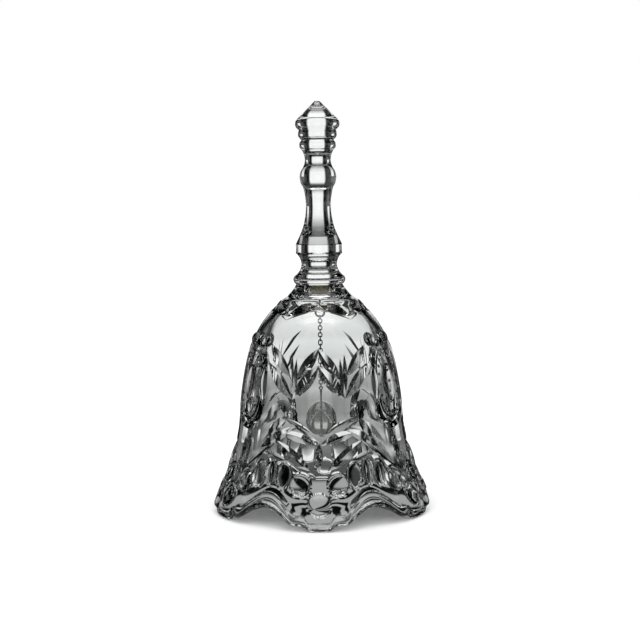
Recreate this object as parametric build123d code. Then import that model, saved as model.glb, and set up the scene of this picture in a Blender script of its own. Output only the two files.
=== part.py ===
from build123d import *
import math
import os

# Table bell of cut crystal with a chain-hung clapper, in millimetres.
# +Z up along the axis of the bell, Z = 0 on the flat tips of the rim lobes, -Y is the front.

# --- driving dimensions -------------------------------------------------------------------
TOTAL_HEIGHT = 156.3       # rim tips to the flat tip of the handle
RIM_RADIUS = 43.6          # widest radius, just above the rim tips
MOUTH_RADIUS = 40.1        # inner radius at the mouth
LOBES = 6                  # lobes of the rim, one of them at the front
ARCH_HEIGHT = 6.8          # how far each arch between two lobes rises
ARCH_HALF_WIDTH = 11.0     # half width of an arch at table height
TONGUE_STEP = 1.7          # how far the foot of a lobe stands below the rest of it
TONGUE_HALF_ANGLE = 7.0    # degrees, the half width of a lobe's flat tongue

PLUG_RADIUS = 4.05         # plug and its socket at the top of the hollow
PLUG_BOTTOM = 81.8         # heights of the plug's two ends
PLUG_TOP = 86.6

EYE_CENTRE_Z = 75.2        # eye that the chain hangs from
EYE_RING_RADIUS = 1.7      # to the middle of the wire
EYE_WIRE = 0.8
EYE_STEM_TOP = 85.4

LINKS = 19                 # chain links, the first one edge-on to the front
LINK_PITCH = 1.50          # drop from one link to the next
LINK_WIRE = 0.42
LINK_WIDTH = 1.80          # over the outside of the wire
PLAY = 0.03                # gap between two wires where one hangs in the other

PIN_LOOP_RADIUS = 0.65     # loop at the top of the clapper pin, to the middle of the wire
PIN_WIRE = 0.5
NECK_RADIUS = 0.48         # thick end of the pin's tapered neck
NECK_LENGTH = 3.4          # from the loop down to where the pin is thin
STEM_RADIUS = 0.325        # pin through the bead, and the bead's bore
HEAD_RADIUS = 0.9
HEAD_THICKNESS = 0.4
BEAD_RADIUS = 6.0
BEAD_CENTRE_Z = 33.5


def outline(start, stretches):
    """Edges from start through a list of stretches: (end,) is straight, (middle, end) an arc."""
    edges = []
    for *middle, end in stretches:
        edges.append(ThreePointArc(start, middle[0], end) if middle else Line(start, end))
        start = end
    return edges


# --- glass: body and handle in one piece ----------------------------------------------------
# Points are (radius, height), read down the outside from the tip of the handle.
HANDLE = [
    ((0.95, TOTAL_HEIGHT),),
    ((7.9, 149.5),),                            # cone of the head
    ((8.5, 148.2), (7.1, 145.3)),               # rounded brim of the head
    ((7.35, 143.1), (6.15, 141.6)),             # upper ring
    ((7.0, 139.2), (6.1, 137.8)),               # lower ring
    ((5.0, 134.0), (6.45, 130.2)),              # neck
    ((7.1, 128.0), (5.8, 123.8)),               # small bulb
    ((4.85, 115.3), (6.5, 107.3)),              # slender grip
    ((7.8, 104.4), (9.0, 101.9)),               # flare
    ((9.0, 98.4),),                             # straight band
    ((7.3, 96.1), (6.9, 93.8)),                 # cove under the band
    ((7.8, 91.5), (9.4, 89.9)),
    ((10.1, 88.6), (9.0, 86.5)),                # collar
]
SHOULDER = [
    ((11.1, 83.5), (15.3, 80.2)),               # from the collar to the shoulder
    ((22.2, 72.4), (28.0, 60.7)),               # shoulder
    ((30.6, 48.0), (31.6, 40.0)),               # waist of the body
    ((32.7, 29.1), (35.8, 17.2)),
    ((39.3, 9.7), (43.1, 3.3)),                 # flare to the rim
    ((RIM_RADIUS, 1.7), (43.2, 0)),
]
HOLLOW = [
    ((MOUTH_RADIUS, 0),),
    ((34.7, 12.0), (29.6, 26.0)),
    ((27.9, 37.0), (27.1, 46.0)),
    ((25.4, 57.0), (20.8, 69.0)),
    ((17.0, 74.4), (12.0, 79.0)),
    ((8.0, 81.2), (PLUG_RADIUS, PLUG_BOTTOM)),
    ((PLUG_RADIUS, PLUG_TOP),),
    ((0, PLUG_TOP),),
    ((0, TOTAL_HEIGHT),),
]
profile = make_face(outline((0, TOTAL_HEIGHT), HANDLE + SHOULDER + HOLLOW))
glass_bell = revolve(Plane.XZ * profile, Axis.Z, 360)

# The rim is cut away between the lobes: a round arch, and a low step beside each tongue.
step_half_width = RIM_RADIUS * math.sin(math.radians(180 / LOBES - TONGUE_HALF_ANGLE))
arch = Ellipse(ARCH_HALF_WIDTH, ARCH_HEIGHT)
step = RectangleRounded(2 * step_half_width, 2 * TONGUE_STEP, TONGUE_STEP * 0.7)
gap = extrude(Plane.XZ * (arch + step), RIM_RADIUS + 5)
for i in range(LOBES):
    glass_bell -= Rot(0, 0, (i + 0.5) * 360 / LOBES) * gap

# --- eye in its plug ------------------------------------------------------------------------
eye_ring = Plane((0, 0, EYE_CENTRE_Z), x_dir=(1, 0, 0), z_dir=(0, 1, 0)) * Torus(
    EYE_RING_RADIUS, EYE_WIRE / 2
)
stem_bottom = EYE_CENTRE_Z + EYE_RING_RADIUS
stem = Pos(0, 0, stem_bottom) * extrude(Circle(EYE_WIRE / 2), EYE_STEM_TOP - stem_bottom)
clapper_eye = eye_ring + stem
plug = Pos(0, 0, PLUG_BOTTOM) * extrude(Circle(PLUG_RADIUS), PLUG_TOP - PLUG_BOTTOM)
neck_plug = plug - stem

# --- chain ----------------------------------------------------------------------------------
bend_radius = (LINK_WIDTH - LINK_WIRE) / 2
inner_length = LINK_PITCH + PLAY
straight = inner_length + LINK_WIRE - 2 * bend_radius


def chain_link():
    """An oval link in the XZ plane, its centre at the origin."""
    wire = Circle(LINK_WIRE / 2)
    link = None
    for side in (1, -1):
        leg = Pos(side * bend_radius, 0, -straight / 2) * extrude(wire, straight)
        end = Pos(bend_radius, 0, side * straight / 2) * wire
        turn = Axis((0, 0, side * straight / 2), (0, -side, 0))
        piece = leg + revolve(end, turn, 180)
        link = piece if link is None else link + piece
    return link


eye_wire_z = EYE_CENTRE_Z - EYE_RING_RADIUS
first_centre = eye_wire_z + EYE_WIRE / 2 + PLAY - inner_length / 2
links = {}
for n in range(LINKS):
    edge_on = n % 2 == 0
    links[f"chain_link_{n + 1:02d}"] = (
        Pos(0, 0, first_centre - n * LINK_PITCH) * Rot(0, 0, 90 if edge_on else 0) * chain_link()
    )
last_link_floor = first_centre - (LINKS - 1) * LINK_PITCH - inner_length / 2

# --- clapper: a glass bead on a headed pin --------------------------------------------------
loop_z = last_link_floor + PLAY + PIN_WIRE / 2 - PIN_LOOP_RADIUS
neck_top = loop_z - PIN_LOOP_RADIUS
bead_bottom = BEAD_CENTRE_Z - BEAD_RADIUS
loop = Plane((0, 0, loop_z), x_dir=(1, 0, 0), z_dir=(0, 1, 0)) * Torus(
    PIN_LOOP_RADIUS, PIN_WIRE / 2
)
pin_outline = [
    (0, neck_top),
    (NECK_RADIUS, neck_top),
    (STEM_RADIUS, neck_top - NECK_LENGTH),
    (STEM_RADIUS, bead_bottom),
    (HEAD_RADIUS, bead_bottom),
    (HEAD_RADIUS, bead_bottom - HEAD_THICKNESS),
    (0, bead_bottom - HEAD_THICKNESS),
]
pin = revolve(Plane.XZ * make_face(Polyline(*pin_outline, close=True)), Axis.Z, 360)
clapper_pin = pin + loop
bore = Pos(0, 0, bead_bottom - 1) * extrude(Circle(STEM_RADIUS), 2 * BEAD_RADIUS + 2)
clapper_bead = Pos(0, 0, BEAD_CENTRE_Z) * Sphere(BEAD_RADIUS) - bore

# --- one STEP file for each piece -----------------------------------------------------------
pieces = {
    "glass_bell": glass_bell,
    "neck_plug": neck_plug,
    "clapper_eye": clapper_eye,
    **links,
    "clapper_pin": clapper_pin,
    "clapper_bead": clapper_bead,
}
os.makedirs("parts", exist_ok=True)
for node, solid in pieces.items():
    export_step(solid, f"parts/{node}.step")
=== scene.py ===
"""Looks of a tall cut-crystal table bell: cut glass, chain-hung bead, studio.

The CAD frame gives every place and size. The bell is one lathe-turned shell whose rim is
drawn into lobes, raised with pebbles and buttons, and then cut on a V-edged wheel.
Lengths in the tables below are millimetres and angles are degrees round the bell, with 0 at
the front (-Y) and positive towards +X.
"""

import math

import bmesh
import bpy
from mathutils import Matrix, Vector


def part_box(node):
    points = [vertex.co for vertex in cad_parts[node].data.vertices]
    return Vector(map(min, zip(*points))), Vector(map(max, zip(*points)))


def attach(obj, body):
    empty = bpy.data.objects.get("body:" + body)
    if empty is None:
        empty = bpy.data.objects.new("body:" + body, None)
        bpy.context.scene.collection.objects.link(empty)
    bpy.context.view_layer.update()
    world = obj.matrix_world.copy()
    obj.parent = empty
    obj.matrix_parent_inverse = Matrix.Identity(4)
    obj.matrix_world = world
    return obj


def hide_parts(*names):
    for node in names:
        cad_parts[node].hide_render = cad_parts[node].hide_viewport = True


bl_info = {
    "name": "Cut-crystal table bell",
    "version": (1, 0, 0),
    "blender": (4, 5, 0),
    "location": "3D View > Sidebar > Bell",
    "description": "Builds the looks of a cut-crystal table bell around its CAD frame",
    "category": "Object",
}

MM = 0.001
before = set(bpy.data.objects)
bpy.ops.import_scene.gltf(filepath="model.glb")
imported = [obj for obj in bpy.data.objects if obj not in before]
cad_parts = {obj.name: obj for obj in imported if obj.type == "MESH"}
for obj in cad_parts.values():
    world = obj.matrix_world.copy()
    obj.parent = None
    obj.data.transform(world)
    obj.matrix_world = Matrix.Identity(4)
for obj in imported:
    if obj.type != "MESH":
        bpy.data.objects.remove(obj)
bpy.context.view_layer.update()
LINKS = sorted(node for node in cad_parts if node.startswith("chain_link_"))

# --- outlines ------------------------------------------------------------------------------
# Points are (radius, height). A stretch is (end,) when straight and (middle, end) when an arc.
TIP = (0, 156.3)
HANDLE = [
    ((0.95, 156.3),),
    ((7.9, 149.5),),                            # cone of the head
    ((8.5, 148.2), (7.1, 145.3)),               # rounded brim of the head
    ((7.35, 143.1), (6.15, 141.6)),             # upper ring
    ((7.0, 139.2), (6.1, 137.8)),               # lower ring
    ((5.0, 134.0), (6.45, 130.2)),              # neck
    ((7.1, 128.0), (5.8, 123.8)),               # small bulb
    ((4.85, 115.3), (6.5, 107.3)),              # slender grip
    ((7.8, 104.4), (9.0, 101.9)),               # flare
    ((9.0, 98.4),),                             # straight band
    ((7.3, 96.1), (6.9, 93.8)),                 # cove under the band
    ((7.8, 91.5), (9.4, 89.9)),
    ((10.1, 88.6), (9.0, 86.5)),                # collar
]
BODY = [
    ((11.1, 83.5), (15.3, 80.2)),
    ((22.2, 72.4), (28.0, 60.7)),               # shoulder
    ((30.6, 48.0), (31.6, 40.0)),               # waist
    ((32.7, 29.1), (35.8, 17.2)),
    ((39.3, 9.7), (43.1, 3.3)),                 # flare
]
RIM = [
    ((42.6, 2.9), (42.8, 2.4)),                 # groove above the roll
    ((43.5, 1.2), (42.7, 0.3)),                 # roll
    ((41.8, 0.0), (40.8, 0.4)),
    ((40.2, 1.0), (39.8, 2.0)),
]
HOLLOW = [
    ((34.8, 12.0), (29.6, 26.0)),
    ((27.9, 37.0), (27.1, 46.0)),
    ((25.4, 57.0), (20.8, 69.0)),
    ((17.0, 74.4), (12.0, 79.0)),
    ((8.0, 81.2), (4.05, 81.8)),
    ((4.05, 86.6),),
    ((0, 86.6),),
]
ROUND_STEPS = 192          # facets round the glass
BORE_RADIUS = 0.335        # hole through the bead

# --- rim: six lobes, arches between them ---------------------------------------------------
HALF_LOBE = 30             # from the middle of a lobe to the middle of an arch
TONGUE_HALF_ANGLE = 5.0    # flat foot of each lobe
STEP_ANGLE = 3.5           # the step up beside it
TONGUE_RISE = 1.7
ARCH_HALF_ANGLE = 16
ARCH_RISE = 5.1
ROLL_TOP = 3.2             # height of the top of the roll
ROLL_SWELL = 0.44          # how much further than the edge the top of the roll is lifted
FADE_TOP = 20.0            # above this the lobes of the rim no longer push the glass
FADE_POWER = 1.3

# --- cut pattern ---------------------------------------------------------------------------
FRONT = 0                    # the tall fan in front
FAN_TURNS = (120, 240)       # the fans towards the back
FINE = 0.35                  # width of their panel leaves, as a share of the front fan's
CARTOUCHE_TURNS = (60, 300)  # the panel at the back, at 180, is left plain
LOBE_TURNS = tuple(range(0, 360, 60))
STAR_TURNS = tuple(range(0, 360, 72))
CLEARANCE = 0.6              # how far a cutter stands out of the glass
LEAF_STEPS = 15              # sections along a leaf
LEAF_OVERRUN = 0.07          # how far a leaf's cutter runs past each end, as a share of its length
# Leaves are start, end, width and, where there is one, bow.
PANEL_LEAVES = [            # the fan in the upper panel
    ((18.5, 46.3), (39, 58.8), 4.6),
    ((18.5, 46.3), (-0.4, 58.8), 4.8),
    ((16, 53.2), (-0.3, 64.8), 4.2),
    ((20.5, 54.5), (39.5, 65.2), 4.2),
    ((17, 47.5), (16.6, 61.0), 1.7),
    ((19.4, 48.5), (20.2, 62.5), 1.7),
]
FOOT_LEAVES = [             # the fan below it, down to the pebbles
    ((5.2, 20.6), (30, 31), 4.4),
    ((0.6, 29.6), (26, 33.8), 3.6, 0.8),
    ((42, 27.5), (18, 35), 3.6, 0.8),
    ((37.5, 31.0), (27, 39.5), 3.0),
    ((21, 24), (40, 26.6), 2.8),
    ((4, 34.0), (26, 39.6), 1.3, 0.8),
    ((17, 37.0), (58, 17.0), 1.3),
]
LOBE_LEAF = (20.5, 30.5, 3.0)   # foot, top and width of the upright leaf over each lobe
SHOULDER_LEAVES = [         # the brows round the shoulder, each with a fine line below
    ((36.8, 75.6), (-0.5, 79.8), 5.2, 0.9),
    ((36.8, 74.2), (-0.5, 78.0), 0.8, 0.7),
]
PEBBLES = [                 # angle from the lobe, height, width, tall, share of the pebble height
    (0, 8.8, 8.4, 9.0, 1.0),
    (11, 15.6, 7.6, 9.0, 1.0),
    (21.5, 18.4, 5.6, 9.8, 0.5),
    (30, 19.3, 3.6, 9.6, 0.4),
]
BED_WIDTH = 1.4             # V groove round the foot of each pebble
BED_STEPS = 28              # sections round a bed
BUTTON = (12.0, 66.8, 4.6)  # angle from the cartouche's middle, height, diameter

# The framed ovals beside the front panel.
CARTOUCHE_MIDDLE = 50.0                                    # height
CARTOUCHE_RINGS = [(17.2, 15.4, 2.8), (13.6, 12.6, 1.0)]   # half angle, half height, width
RING_STEPS = 72
RUNGS = 20
RUNG_REACH = ((12.6, 11.8), (9.6, 9.8))                    # outer and inner ends, as the rings
RUNG_WIDTH = 1.2
BOSS = (6.6, 14.0, 0.9)                                    # width, height and rise of the middle


def arc(start, middle, end, pitch):
    """Points after start on the circle through three points, about pitch apart."""
    (ax, ay), (bx, by), (cx, cy) = start, middle, end
    d = 2 * (ax * (by - cy) + bx * (cy - ay) + cx * (ay - by))
    a2, b2, c2 = ax * ax + ay * ay, bx * bx + by * by, cx * cx + cy * cy
    ux = (a2 * (by - cy) + b2 * (cy - ay) + c2 * (ay - by)) / d
    uy = (a2 * (cx - bx) + b2 * (ax - cx) + c2 * (bx - ax)) / d
    radius = math.hypot(ax - ux, ay - uy)
    first, mid, last = (math.atan2(y - uy, x - ux) for x, y in (start, middle, end))
    turn = (last - first) % math.tau
    if (mid - first) % math.tau > turn:
        turn -= math.tau
    count = max(3, round(abs(turn) * radius / pitch))
    angles = [first + turn * (i + 1) / count for i in range(count)]
    return [(ux + radius * math.cos(a), uy + radius * math.sin(a)) for a in angles]


def outline(start, stretches, pitch):
    """Points of an outline, about pitch apart."""
    points = [start]
    for *middle, end in stretches:
        here = points[-1]
        if middle:
            points += arc(here, middle[0], end, pitch)
            continue
        count = max(1, round(math.dist(here, end) / pitch))
        for i in range(count):
            points.append(tuple(p + (q - p) * (i + 1) / count for p, q in zip(here, end)))
    return points


SKIN = outline((9.0, 86.5), BODY, 0.5) + [(43.5, 2.0), (43.6, -1.0)]


def radius_at(height):
    """Radius of the body's plain outer skin at a height."""
    for (r0, z0), (r1, z1) in zip(SKIN, SKIN[1:]):
        if z1 <= height <= z0:
            return r0 + (r1 - r0) * (z0 - height) / (z0 - z1)
    return SKIN[0][0]


def on_skin(angle, height):
    """(point, normal) on the body's outer skin, in millimetres."""
    span = 0.4
    slope = (radius_at(height + span) - radius_at(height - span)) / (2 * span)
    a = math.radians(angle)
    out = Vector((math.sin(a), -math.cos(a), 0))
    normal = (out - Vector((0, 0, slope))).normalized()
    return out * radius_at(height) + Vector((0, 0, height)), normal


# --- mesh helpers --------------------------------------------------------------------------
def new_object(bm, name):
    """A finished mesh object at the origin from a bmesh in millimetres."""
    bmesh.ops.transform(bm, matrix=Matrix.Scale(MM, 4), verts=bm.verts)
    mesh = bpy.data.meshes.new(name)
    bm.to_mesh(mesh)
    bm.free()
    obj = bpy.data.objects.new(name, mesh)
    bpy.context.collection.objects.link(obj)
    return obj


def spin(bm, points, steps):
    """Turns an outline of (radius, height) once round the Z axis, and closes its poles."""
    verts = [bm.verts.new((r, 0, z)) for r, z in points]
    edges = [bm.edges.new(pair) for pair in zip(verts, verts[1:])]
    bmesh.ops.spin(
        bm, geom=verts + edges, cent=(0, 0, 0), axis=(0, 0, 1), dvec=(0, 0, 0),
        angle=math.tau, steps=steps, use_merge=True, use_duplicate=False,
    )
    bmesh.ops.remove_doubles(bm, verts=bm.verts, dist=0.0005)
    bmesh.ops.recalc_face_normals(bm, faces=bm.faces)


def smooth(obj, sharp_angle):
    """Smooth shading, with edges sharper than an angle in degrees kept crisp."""
    obj.data.shade_smooth()
    obj.data.set_sharp_from_angle(angle=math.radians(sharp_angle))


def combine(obj, tool, operation):
    """Cuts a tool out of an object, or joins it on, and discards the tool."""
    step = obj.modifiers.new("combine", "BOOLEAN")
    step.operation = operation
    step.solver = "MANIFOLD"
    step.object = tool
    bpy.context.view_layer.update()
    graph = bpy.context.evaluated_depsgraph_get()
    shaped = bpy.data.meshes.new_from_object(obj.evaluated_get(graph))
    obj.modifiers.clear()
    old = obj.data
    obj.data = shaped
    shaped.name = obj.name
    bpy.data.meshes.remove(old)
    used = tool.data
    bpy.data.objects.remove(tool)
    bpy.data.meshes.remove(used)


# --- the glass -----------------------------------------------------------------------------
def rim_lift(angle):
    """How far the rim's edge stands above the table at an angle round the bell."""
    off = abs((angle + HALF_LOBE) % (2 * HALF_LOBE) - HALF_LOBE)
    step = min(1.0, max(0.0, (off - TONGUE_HALF_ANGLE) / STEP_ANGLE))
    arch = math.cos(math.radians(90 * min(1.0, (HALF_LOBE - off) / ARCH_HALF_ANGLE)))
    return TONGUE_RISE * step * step * (3 - 2 * step) + ARCH_RISE * arch


def lift_share(height):
    """Share of the rim's lift that glass at a height takes, a little more just above the roll."""
    if height < ROLL_TOP:
        return 1 + ROLL_SWELL * height / ROLL_TOP
    fade = min(1.0, (height - ROLL_TOP) / (FADE_TOP - ROLL_TOP))
    return (1 + ROLL_SWELL) * (1 - fade) ** FADE_POWER


def draw_rim(bm):
    """Draws the rim up into arches between its lobes, along the flare."""
    for v in bm.verts:
        if v.co.z >= FADE_TOP:
            continue
        angle = math.degrees(math.atan2(v.co.x, -v.co.y))
        height = v.co.z + rim_lift(angle) * lift_share(v.co.z)
        radius = math.hypot(v.co.x, v.co.y)
        grown = radius + radius_at(height) - radius_at(v.co.z)
        v.co.x *= grown / radius
        v.co.y *= grown / radius
        v.co.z = height


def glass_blank():
    """The uncut bell: handle and body in one closed skin."""
    bm = bmesh.new()
    handle = outline(TIP, HANDLE, 0.45)
    body = outline(handle[-1], BODY, 1.2)
    rim = outline(body[-1], RIM, 0.35)
    hollow = outline(rim[-1], HOLLOW, 1.6)
    spin(bm, handle + body[1:] + rim[1:] + hollow[1:], ROUND_STEPS)
    draw_rim(bm)
    return new_object(bm, "cut_glass_bell")


def wheel_slope():
    """Half width of a V cut for each millimetre of its depth."""
    return math.tan(bpy.context.scene.bell_glass.wheel_angle / 2)


def v_groove(bm, path, depths, closed=False):
    """A V-edged cutter along (angle, height) points, sunk by a depth at each."""
    spots = [on_skin(a, z) for a, z in path]
    count = len(spots)
    rings = []
    for i, (point, normal) in enumerate(spots):
        ahead = spots[(i + 1) % count if closed else min(i + 1, count - 1)][0]
        behind = spots[(i - 1) % count if closed else max(i - 1, 0)][0]
        side = normal.cross(ahead - behind).normalized()
        half = (depths[i] + CLEARANCE) * wheel_slope()
        top = point + normal * CLEARANCE
        corners = (point - normal * depths[i], top + side * half, top - side * half)
        rings.append([bm.verts.new(c) for c in corners])
    loops = [[bm.edges.new((r[i], r[(i + 1) % 3])) for i in range(3)] for r in rings]
    pairs = list(zip(loops, loops[1:])) + ([(loops[-1], loops[0])] if closed else [])
    for one, other in pairs:
        bmesh.ops.bridge_loops(bm, edges=one + other)
    if not closed:
        for ring in (rings[0], rings[-1]):
            bm.faces.new(ring)


def leaf(bm, start, end, width, bow=0.0):
    """A leaf-shaped mitre cut between two (angle, height) points, its middle raised by bow."""
    deepest = width / 2 / wheel_slope()
    path, depths = [], []
    for i in range(LEAF_STEPS):
        t = -LEAF_OVERRUN + (1 + 2 * LEAF_OVERRUN) * i / (LEAF_STEPS - 1)
        swell = 4 * t * (1 - t)
        angle = start[0] + (end[0] - start[0]) * t
        height = start[1] + (end[1] - start[1]) * t + bow * swell
        path.append((angle, height))
        depths.append(deepest * swell)
    v_groove(bm, path, depths)


def wheel_cut(glass, cuts, turns, share=1.0):
    """Cuts each leaf of a list (start, end, width[, bow]) and its mirror image, at every turn.

    The width is multiplied by share.
    """
    for start, end, width, *bow in cuts:
        meets_mirror = min(start[0], end[0]) < 2
        for sides in ((1,), (-1,)) if meets_mirror else ((1, -1),):
            bm = bmesh.new()
            for side in sides:
                for turn in turns:
                    ends = [(side * angle + turn, height) for angle, height in (start, end)]
                    leaf(bm, *ends, width * share, *bow)
            cut_away(glass, bm)


def cut_away(glass, bm):
    """Takes a bmesh of cutters out of the glass."""
    bmesh.ops.recalc_face_normals(bm, faces=bm.faces)
    combine(glass, new_object(bm, "wheel"), "DIFFERENCE")


def mound(bm, angle, height, width, tall, proud):
    """A low oval dome that stands out of the skin."""
    point, normal = on_skin(angle, height)
    along = Vector((math.cos(math.radians(angle)), math.sin(math.radians(angle)), 0))
    turn = Matrix((along, normal.cross(along), normal)).transposed().to_4x4()
    sizes = Matrix.Diagonal((width / 2, tall / 2, proud, 1))
    place = Matrix.Translation(point) @ turn @ sizes
    bmesh.ops.create_uvsphere(bm, u_segments=32, v_segments=16, radius=1, matrix=place)


def bed(bm, angle, height, width, tall):
    """A V groove round the foot of a mound."""
    normal = on_skin(angle, height)[1]
    reach = math.degrees(width / 2 / radius_at(height))
    rise = tall / 2 * math.hypot(normal.x, normal.y)
    steps = [math.tau * i / BED_STEPS for i in range(BED_STEPS)]
    path = [(angle + reach * math.cos(t), height + rise * math.sin(t)) for t in steps]
    v_groove(bm, path, [BED_WIDTH / 2 / wheel_slope()] * len(path), closed=True)


def raise_mounds(glass, spots, proud):
    """Raises mounds (angle, height, width, tall), each in its bed; those of a list don't touch."""
    beds, mounds = bmesh.new(), bmesh.new()
    for spot in spots:
        bed(beds, *spot)
        mound(mounds, *spot, proud)
    cut_away(glass, beds)
    combine(glass, new_object(mounds, "mounds"), "UNION")


def raise_pebbles(glass):
    """Rows of oval pebbles above the rim, and a pair of buttons over each cartouche."""
    proud = bpy.context.scene.bell_glass.pebble_height / MM
    for offset, height, width, tall, share in PEBBLES:
        sides = (1, -1) if 0 < offset < HALF_LOBE else (1,)
        places = [turn + side * offset for turn in LOBE_TURNS for side in sides]
        spots = [(place, height, width, tall) for place in places]
        raise_mounds(glass, spots, proud * share)
    angle, height, size = BUTTON
    places = [turn + side * angle for turn in CARTOUCHE_TURNS for side in (1, -1)]
    spots = [(place, height, size, size) for place in places]
    raise_mounds(glass, spots, proud)


def oval(half_angle, half_height, count):
    """(angle, height) points of a long oval with straightened sides, round the cartouche."""
    points = []
    for i in range(count):
        c, s = math.cos(math.tau * i / count), math.sin(math.tau * i / count)
        angle = half_angle * math.copysign(abs(c) ** 0.75, c)
        points.append((angle, CARTOUCHE_MIDDLE + half_height * math.copysign(abs(s) ** 0.85, s)))
    return points


def cut_cartouches(glass):
    """The framed ovals beside the front panel: ring grooves, a ring of rungs and a smooth boss."""
    for half_angle, half_height, width in CARTOUCHE_RINGS:
        bm = bmesh.new()
        for turn in CARTOUCHE_TURNS:
            path = [(turn + a, z) for a, z in oval(half_angle, half_height, RING_STEPS)]
            v_groove(bm, path, [width / 2 / wheel_slope()] * len(path), closed=True)
        cut_away(glass, bm)
    outer, inner = (oval(*reach, RUNGS) for reach in RUNG_REACH)
    bm = bmesh.new()
    for turn in CARTOUCHE_TURNS:
        for (start, start_z), (end, end_z) in zip(outer, inner):
            leaf(bm, (turn + start, start_z), (turn + end, end_z), RUNG_WIDTH)
    cut_away(glass, bm)
    width, tall, rise = BOSS
    raise_mounds(glass, [(turn, CARTOUCHE_MIDDLE, width, tall) for turn in CARTOUCHE_TURNS], rise)


def cut_lobes(glass):
    """The short upright leaf over each lobe of the rim."""
    foot, top, width = LOBE_LEAF
    bm = bmesh.new()
    for turn in LOBE_TURNS:
        leaf(bm, (turn, foot), (turn, top), width)
    cut_away(glass, bm)


# --- materials -----------------------------------------------------------------------------
def srgb(code):
    """Linear colour, with alpha, from an sRGB hex code."""
    parts = [int(code[i:i + 2], 16) / 255 for i in (1, 3, 5)]
    return (*[p / 12.92 if p <= 0.04045 else ((p + 0.055) / 1.055) ** 2.4 for p in parts], 1.0)


def add_node(tree, kind, settings=None, links=None):
    """Adds a node, sets its sockets or attributes by name, and links (socket -> (node, output))."""
    node = tree.nodes.new(kind)
    for key, value in (settings or {}).items():
        if isinstance(key, int) or key in node.inputs:
            node.inputs[key].default_value = value
        else:
            setattr(node, key, value)
    for key, (source, output) in (links or {}).items():
        tree.links.new(source.outputs[output], node.inputs[key])
    return node


def new_material(name):
    """An empty node material: (material, tree, output node)."""
    mat = bpy.data.materials.new(name)
    mat.use_nodes = True
    mat.node_tree.nodes.clear()
    return mat, mat.node_tree, add_node(mat.node_tree, "ShaderNodeOutputMaterial")


def dress(obj, mat):
    """Gives an object one material."""
    obj.data.materials.clear()
    obj.data.materials.append(mat)


def lead_crystal(settings):
    """Lead crystal, wheel cut and acid polished: bright and colourless, with a faint ripple."""
    mat, tree, out = new_material("lead_crystal")
    spot = add_node(tree, "ShaderNodeTexCoord")
    ripple = add_node(
        tree, "ShaderNodeTexNoise", {"Scale": 1 / (14 * MM), "Detail": 1.0},
        {"Vector": (spot, "Object")},
    )
    bump = add_node(
        tree, "ShaderNodeBump", {"Strength": 0.06, "Distance": 0.2 * MM},
        {"Height": (ripple, "Fac")},
    )
    glass = add_node(
        tree, "ShaderNodeBsdfPrincipled",
        {
            "Base Color": settings.tint, "Roughness": 0.0, "IOR": settings.index,
            "Transmission Weight": 1.0,
        },
        {"Normal": (bump, "Normal")},
    )
    tree.links.new(glass.outputs["BSDF"], out.inputs["Surface"])
    return mat


def bead_glass(settings):
    """Pressed bead glass: clear with a grey cast, and the faint waves of a fire-polished mould."""
    mat, tree, out = new_material("bead_glass")
    spot = add_node(tree, "ShaderNodeTexCoord")
    waves = add_node(
        tree, "ShaderNodeTexNoise", {"Scale": 1 / (5 * MM)}, {"Vector": (spot, "Object")}
    )
    bump = add_node(
        tree, "ShaderNodeBump", {"Strength": 0.05, "Distance": 0.1 * MM},
        {"Height": (waves, "Fac")},
    )
    glass = add_node(
        tree, "ShaderNodeBsdfPrincipled",
        {
            "Base Color": settings.bead_tint, "Roughness": 0.01, "IOR": 1.52,
            "Transmission Weight": 1.0,
        },
        {"Normal": (bump, "Normal")},
    )
    tree.links.new(glass.outputs["BSDF"], out.inputs["Surface"])
    return mat


def nickel_wire(settings):
    """Nickel-plated old wire: dark grey metal, its grey partly painted shade for the dark it hangs in
    behind the glass, with duller, rougher tarnished patches darkened by the same painted shade.
    """
    mat, tree, out = new_material("nickel_wire")
    spot = add_node(tree, "ShaderNodeTexCoord")
    patches = add_node(
        tree, "ShaderNodeTexNoise", {"Scale": 1 / (0.8 * MM), "Detail": 3.0},
        {"Vector": (spot, "Object")},
    )
    # Painted shade: the ramp runs between two wire colours, both darkened to stand in for the dark
    # the wire hangs in behind the glass.
    tone = add_node(tree, "ShaderNodeValToRGB", None, {"Fac": (patches, "Fac")})
    tone.color_ramp.elements[0].color = settings.tarnish_and_shade
    tone.color_ramp.elements[1].color = settings.nickel_and_shade
    rough = add_node(
        tree, "ShaderNodeMapRange", {"To Min": 0.18, "To Max": 0.38}, {"Value": (patches, "Fac")}
    )
    metal = add_node(
        tree, "ShaderNodeBsdfPrincipled", {"Metallic": 1.0},
        {"Base Color": (tone, "Color"), "Roughness": (rough, "Result")},
    )
    tree.links.new(metal.outputs["BSDF"], out.inputs["Surface"])
    return mat


def cork_in_cement(settings):
    """Ground cork bedded in yellowed cement: olive tan, granular and matt."""
    mat, tree, out = new_material("cork_in_cement")
    spot = add_node(tree, "ShaderNodeTexCoord")
    grain = add_node(
        tree, "ShaderNodeTexVoronoi", {"Scale": 1 / (0.9 * MM)}, {"Vector": (spot, "Object")}
    )
    tone = add_node(tree, "ShaderNodeValToRGB", None, {"Fac": (grain, "Distance")})
    tone.color_ramp.elements[0].color = settings.cement
    tone.color_ramp.elements[1].color = settings.cork
    bump = add_node(
        tree, "ShaderNodeBump", {"Strength": 0.5, "Distance": 0.1 * MM},
        {"Height": (grain, "Distance")},
    )
    cork = add_node(
        tree, "ShaderNodeBsdfPrincipled", {"Roughness": 0.7},
        {"Base Color": (tone, "Color"), "Normal": (bump, "Normal")},
    )
    tree.links.new(cork.outputs["BSDF"], out.inputs["Surface"])
    return mat


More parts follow.
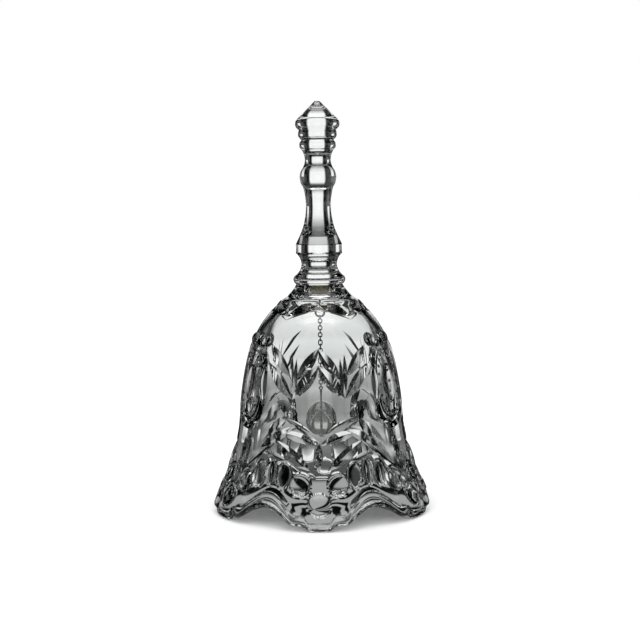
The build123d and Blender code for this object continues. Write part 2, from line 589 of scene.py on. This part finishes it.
def white_table():
    """Matt white paper: an even, shadow-catching white with no sheen."""
    mat, tree, out = new_material("white_table")
    top = add_node(
        tree, "ShaderNodeBsdfPrincipled",
        {"Base Color": srgb("#F7F7F7"), "Roughness": 0.9, "Specular IOR Level": 0.0},
    )
    tree.links.new(top.outputs["BSDF"], out.inputs["Surface"])
    return mat


# --- studio --------------------------------------------------------------------------------
def ramp(tree, stops, source, output):
    """A colour ramp of grey (place, level) stops, driven by a node's output."""
    node = add_node(tree, "ShaderNodeValToRGB", None, {"Fac": (source, output)})
    marks = node.color_ramp.elements
    for place, _ in stops[2:]:
        marks.new(place)
    for mark, (place, level) in zip(marks, sorted(stops)):
        mark.position = place
        mark.color = (level, level, level, 1)
    return node


BACKDROP = (1.0, 1.0, 1.0, 1.0)      # what the camera sees behind the bell
FILL = (1.25, 1.25, 1.25, 1.0)       # what lights the matt surfaces
GAP = 0.01                 # grey level of the dark gaps between the white panels
WALL_CORNER = 0.12         # grey level of the corner panels on the walls
TABLE_CORNER = 1.0         # and of the same panels on the table
# Grey levels of the room by height, from straight down to straight up: the walls, a dark gap
# and the soft light overhead.
HEIGHT_STOPS = [(0.0, 0.1), (0.49, 1.0), (0.60, 1.0), (0.66, 0.03), (0.91, 0.03), (0.93, 1.0)]
OVERHEAD = 0.92            # share of the height range above which only the soft light is left
# Grey levels of the table as the glass sees it, painted light and shade, by distance from the bell as
# a
# share of the reach: grey under the bell, a dark ring of painted shade round it, and white further
# off.
TABLE_REACH = 600.0
TABLE_GLOW_AND_SHADE_STOPS = [
    (0.0, 0.40), (0.06, 0.40), (0.08, 0.06), (0.15, 0.06),
    (0.28, 0.24), (0.46, 0.50), (0.72, 0.85), (1.0, 1.0),
]


def round_levels(tree, axes, corner):
    """Grey level of the room at the bearing of a vector's X and Y.

    The ramp runs over the squared cosine of the bearing from the front-back line: white panels
    at the sides, front and back, panels of the level corner in the corners, and dark gaps.
    """
    stops = [
        (0.0, 1.0), (0.05, 1.0), (0.10, GAP),
        (0.35, GAP), (0.40, corner), (0.60, corner), (0.65, GAP),
        (0.89, GAP), (0.93, 1.0), (1.0, 1.0),
    ]
    bearing = add_node(
        tree, "ShaderNodeMath", {"operation": "ARCTAN2"}, {0: (axes, "X"), 1: (axes, "Y")}
    )
    cosine = add_node(tree, "ShaderNodeMath", {"operation": "COSINE"}, {0: (bearing, "Value")})
    square = add_node(
        tree, "ShaderNodeMath", {"operation": "POWER", 1: 2.0}, {0: (cosine, "Value")}
    )
    return ramp(tree, stops, square, "Value")


def studio_world(scene):
    """White panels round the bell with dark gaps between, and a soft light overhead.

    Only the glass and the wire see this room: the camera sees the plain backdrop.
    """
    world = bpy.data.worlds.new("studio")
    scene.world = world
    world.use_nodes = True
    tree = world.node_tree
    tree.nodes.clear()
    out = add_node(tree, "ShaderNodeOutputWorld")
    spot = add_node(tree, "ShaderNodeTexCoord")
    axes = add_node(tree, "ShaderNodeSeparateXYZ", None, {"Vector": (spot, "Generated")})
    height = add_node(
        tree, "ShaderNodeMapRange", {"From Min": -1.0, "From Max": 1.0}, {"Value": (axes, "Z")}
    )
    above = add_node(
        tree, "ShaderNodeMath", {"operation": "GREATER_THAN", 1: OVERHEAD}, {0: (height, "Result")}
    )
    roofed = add_node(
        tree, "ShaderNodeMixRGB", {"Color2": BACKDROP},
        {"Fac": (above, "Value"), "Color1": (round_levels(tree, axes, WALL_CORNER), "Color")},
    )
    room = add_node(
        tree, "ShaderNodeMixRGB", {"blend_type": "MULTIPLY", "Fac": 1.0},
        {
            "Color1": (roofed, "Color"),
            "Color2": (ramp(tree, HEIGHT_STOPS, height, "Result"), "Color"),
        },
    )
    path = add_node(tree, "ShaderNodeLightPath")
    backdrop = add_node(
        tree, "ShaderNodeMixRGB", {"Color2": BACKDROP},
        {"Fac": (path, "Is Camera Ray"), "Color1": (room, "Color")},
    )
    lit = add_node(
        tree, "ShaderNodeMixRGB", {"Color2": FILL},
        {"Fac": (path, "Is Diffuse Ray"), "Color1": (backdrop, "Color")},
    )
    sky = add_node(tree, "ShaderNodeBackground", {"Strength": 1.0}, {"Color": (lit, "Color")})
    tree.links.new(sky.outputs["Background"], out.inputs["Surface"])


def painted_table_glow():
    """The table as the glass sees it, in painted light and shade: a glowing sheet that is no lamp,
    dark round the bell as painted shade, and white further off as painted light.
    """
    mat, tree, out = new_material("painted_table_glow")
    spot = add_node(tree, "ShaderNodeTexCoord")
    axes = add_node(tree, "ShaderNodeSeparateXYZ", None, {"Vector": (spot, "Object")})
    reach = add_node(tree, "ShaderNodeVectorMath", {"operation": "LENGTH"}, {0: (spot, "Object")})
    share = add_node(
        tree, "ShaderNodeMath", {"operation": "DIVIDE", 1: TABLE_REACH * MM}, {0: (reach, "Value")}
    )
    level = add_node(
        tree, "ShaderNodeMixRGB", {"blend_type": "MULTIPLY", "Fac": 1.0},
        {
            "Color1": (ramp(tree, TABLE_GLOW_AND_SHADE_STOPS, share, "Value"), "Color"),
            "Color2": (round_levels(tree, axes, TABLE_CORNER), "Color"),
        },
    )
    # Painted light: the sheet glows with the table's light, with painted shade in the ring round the
    # bell.
    glow = add_node(tree, "ShaderNodeEmission", {"Strength": 1.0}, {"Color": (level, "Color")})
    tree.links.new(glow.outputs["Emission"], out.inputs["Surface"])
    return mat


def disc(name, radius, height, mat):
    """A flat round sheet of the studio, in millimetres."""
    bm = bmesh.new()
    place = Matrix.Translation((0, 0, height))
    bmesh.ops.create_circle(bm, cap_ends=True, segments=96, radius=radius, matrix=place)
    sheet = new_object(bm, name)
    dress(sheet, mat)
    return sheet


def soft_light(settings):
    """A square softbox over the bell."""
    data = bpy.data.lights.new("softbox", "AREA")
    data.size = settings.softbox_width
    data.energy = settings.softbox_power
    softbox = bpy.data.objects.new("softbox", data)
    bpy.context.collection.objects.link(softbox)
    softbox.location = (0, 0, settings.softbox_height)


def studio_camera(scene, settings):
    """A long lens a little above the bell's shoulder."""
    data = bpy.data.cameras.new("camera")
    data.lens = settings.lens
    data.clip_start = 10 * MM
    data.clip_end = 20
    camera = bpy.data.objects.new("camera", data)
    bpy.context.collection.objects.link(camera)
    turn, pitch = settings.camera_turn, settings.camera_pitch
    aim = Vector((0, 0, settings.aim_height))
    level = Vector((math.sin(turn), -math.cos(turn), 0))
    away = level * math.cos(pitch) + Vector((0, 0, math.sin(pitch)))
    camera.location = aim + away * settings.camera_distance
    look = away.to_track_quat("Z", "Y").to_matrix().to_4x4()
    camera.rotation_euler = (look @ Matrix.Rotation(settings.camera_roll, 4, "Z")).to_euler()
    scene.camera = camera


# --- settings ------------------------------------------------------------------------------
def length_property(name, description, default):
    """A length property, in metres like the scene; the default is given in millimetres."""
    return bpy.props.FloatProperty(
        name=name, description=description, default=default * MM, min=0, precision=4, unit="LENGTH"
    )


def angle_property(name, description, default):
    """An angle property; the default is given in degrees."""
    return bpy.props.FloatProperty(
        name=name, description=description, default=math.radians(default), unit="ROTATION"
    )


def colour_property(name, description, default):
    """A colour property; the default is given as an sRGB hex code."""
    return bpy.props.FloatVectorProperty(
        name=name, description=description, default=srgb(default),
        size=4, min=0, max=1, subtype="COLOR",
    )


class BELL_PG_glass(bpy.types.PropertyGroup):
    """Cut and colour of the crystal"""

    tint: colour_property("Tint", "Colour of the crystal", "#FAFCFB")
    index: bpy.props.FloatProperty(
        name="Refractive index", description="Index of the crystal, higher with more lead",
        default=1.54, min=1,
    )
    wheel_angle: angle_property("Wheel angle", "Included angle of the wheel's V edge", 104)
    pebble_height: length_property("Pebble height", "How far the pebbles stand out of the glass", 1.5)


class BELL_PG_fittings(bpy.types.PropertyGroup):
    """Colours of the plug, the chain and the clapper"""

    bead_tint: colour_property("Bead tint", "Colour of the clapper bead", "#B6B8B4")
    # Painted shade: the two wire colours below are far darker than bright plating, for the dark the
    # wire hangs in behind the glass; the duller patches are real tarnishing too.
    nickel_and_shade: colour_property("Nickel", "Bright parts of the wire", "#44423E")
    tarnish_and_shade: colour_property("Tarnish", "Dull patches on the wire", "#181715")
    cork: colour_property("Cork", "Colour of the ground cork", "#7E7448")
    cement: colour_property("Cement", "Colour of the cement round the cork", "#B4A874")


class BELL_PG_studio(bpy.types.PropertyGroup):
    """Floor, light and camera"""

    floor_radius: length_property("Floor radius", "Radius of the round white table", 3000)
    softbox_width: length_property("Softbox width", "Side of the square light overhead", 700)
    softbox_height: length_property("Softbox height", "Height of the light over the table", 900)
    softbox_power: bpy.props.FloatProperty(
        name="Softbox power", description="Power of the light overhead, in watts",
        default=1.5, min=0,
    )
    camera_distance: length_property("Camera distance", "From the aim point to the camera", 500)
    aim_height: length_property("Aim height", "Height of the point that the camera looks at", 72.4)
    camera_pitch: angle_property("Camera pitch", "How far above level the camera stands", 6.4)
    camera_turn: angle_property("Camera turn", "How far round to the right the camera stands", 1.8)
    camera_roll: angle_property("Camera roll", "Tilt of the frame", -0.8)
    lens: bpy.props.FloatProperty(
        name="Lens", description="Focal length in millimetres", default=72.5, min=1
    )


# --- operators -----------------------------------------------------------------------------
class BELL_OT_glass(bpy.types.Operator):
    """Turns, draws and cuts the crystal of the bell"""

    bl_idname = "bell.glass"
    bl_label = "Cut glass"

    def execute(self, context):
        glass = glass_blank()
        wheel_cut(glass, PANEL_LEAVES, (FRONT,))
        wheel_cut(glass, PANEL_LEAVES, FAN_TURNS, FINE)
        wheel_cut(glass, FOOT_LEAVES, (FRONT, *FAN_TURNS))
        wheel_cut(glass, SHOULDER_LEAVES, STAR_TURNS)
        cut_lobes(glass)
        cut_cartouches(glass)
        raise_pebbles(glass)
        smooth(glass, 22)
        dress(glass, lead_crystal(context.scene.bell_glass))
        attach(glass, "bell")
        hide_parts("glass_bell")
        return {"FINISHED"}


class BELL_OT_plug(bpy.types.Operator):
    """Finishes the plug at the top of the hollow"""

    bl_idname = "bell.plug"
    bl_label = "Neck plug"

    def execute(self, context):
        dress(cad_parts["neck_plug"], cork_in_cement(context.scene.bell_fittings))
        return {"FINISHED"}


class BELL_OT_chain(bpy.types.Operator):
    """Finishes the eye, the chain links and the clapper's pin"""

    bl_idname = "bell.chain"
    bl_label = "Eye, chain and pin"

    def execute(self, context):
        wire = nickel_wire(context.scene.bell_fittings)
        for node in ["clapper_eye", "clapper_pin", *LINKS]:
            dress(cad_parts[node], wire)
        return {"FINISHED"}


class BELL_OT_bead(bpy.types.Operator):
    """Makes the clear bead that strikes the glass"""

    bl_idname = "bell.bead"
    bl_label = "Clapper bead"

    def execute(self, context):
        low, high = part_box("clapper_bead")
        radius = (high[0] - low[0]) / 2 / MM
        middle = (high[2] + low[2]) / 2 / MM
        half = math.sqrt(radius ** 2 - BORE_RADIUS ** 2)
        foot = (BORE_RADIUS, middle - half)
        points = outline(foot, [((radius, middle), (BORE_RADIUS, middle + half)), (foot,)], 0.3)
        bm = bmesh.new()
        spin(bm, points, 96)
        bead = new_object(bm, "clear_bead")
        smooth(bead, 40)
        dress(bead, bead_glass(context.scene.bell_fittings))
        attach(bead, "clapper")
        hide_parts("clapper_bead")
        return {"FINISHED"}


class BELL_OT_stage(bpy.types.Operator):
    """Floor, soft light and camera"""

    bl_idname = "bell.stage"
    bl_label = "Studio"

    def execute(self, context):
        scene = context.scene
        settings = scene.bell_studio
        floor = disc("floor", settings.floor_radius / MM, 0, white_table())
        floor.visible_transmission = False
        floor.visible_glossy = False
        # A glowing sheet just under the floor, seen only by the glass: the table painted with light,
        # and with painted shade round the bell.
        glow = disc("painted_table_glow", settings.floor_radius / MM, -1, painted_table_glow())
        glow.visible_camera = False
        glow.visible_diffuse = False
        glow.visible_shadow = False
        studio_world(scene)
        soft_light(settings)
        studio_camera(scene, settings)
        scene.view_settings.view_transform = "Standard"
        scene.cycles.max_bounces = 24
        scene.cycles.transmission_bounces = 24
        scene.cycles.transparent_max_bounces = 16
        return {"FINISHED"}


class BELL_PT_panel(bpy.types.Panel):
    """Buttons and settings for the bell"""

    bl_idname = "BELL_PT_panel"
    bl_label = "Crystal bell"
    bl_space_type = "VIEW_3D"
    bl_region_type = "UI"
    bl_category = "Bell"

    def draw(self, context):
        for group, operators in GROUPS.items():
            box = self.layout.box()
            settings = getattr(context.scene, group)
            for name in settings.bl_rna.properties.keys():
                if name not in ("rna_type", "name"):
                    box.prop(settings, name)
            for operator in operators:
                box.operator(operator.bl_idname)


GROUPS = {
    "bell_glass": (BELL_OT_glass,),
    "bell_fittings": (BELL_OT_plug, BELL_OT_chain, BELL_OT_bead),
    "bell_studio": (BELL_OT_stage,),
}
SETTINGS = {
    "bell_glass": BELL_PG_glass,
    "bell_fittings": BELL_PG_fittings,
    "bell_studio": BELL_PG_studio,
}
CLASSES = (*SETTINGS.values(), *[op for ops in GROUPS.values() for op in ops], BELL_PT_panel)


def register():
    for cls in CLASSES:
        bpy.utils.register_class(cls)
    for group, cls in SETTINGS.items():
        setattr(bpy.types.Scene, group, bpy.props.PointerProperty(type=cls))


def unregister():
    for group in SETTINGS:
        delattr(bpy.types.Scene, group)
    for cls in reversed(CLASSES):
        bpy.utils.unregister_class(cls)


def main():
    """Builds everything."""
    register()
    bpy.ops.bell.glass()
    bpy.ops.bell.plug()
    bpy.ops.bell.chain()
    bpy.ops.bell.bead()
    bpy.ops.bell.stage()


if __name__ == "__main__":
    main()
